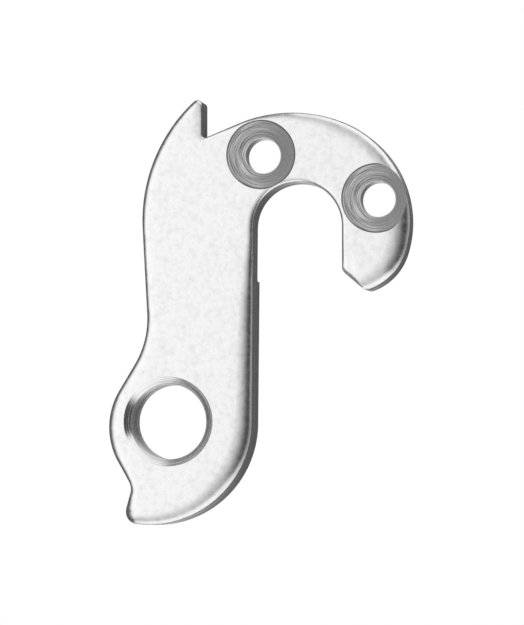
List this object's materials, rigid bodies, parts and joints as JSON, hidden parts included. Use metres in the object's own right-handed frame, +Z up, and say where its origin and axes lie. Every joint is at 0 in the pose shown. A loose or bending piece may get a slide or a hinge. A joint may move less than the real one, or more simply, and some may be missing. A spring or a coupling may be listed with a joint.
{
  "type": "bicycle derailleur hanger",
  "caption": "Flat aluminium plate with an open axle hook, countersunk frame screw holes and a threaded eye below, which carries a bicycle's rear derailleur.",
  "frame": {"origin": "on the threaded eye's axis, in the plane of the frame seat", "axes": "+X to the front of the bicycle, +Y inwards to the wheel, -Y outwards to the chain side, +Z up as fitted"},
  "size_m": [0.0362, 0.0072, 0.0509],
  "materials": {
    "aluminium": "satin, blasted faces with bare cut edges"
  },
  "bodies": {
    "root": {"hanger": "aluminium"}
  },
  "joints": []
}
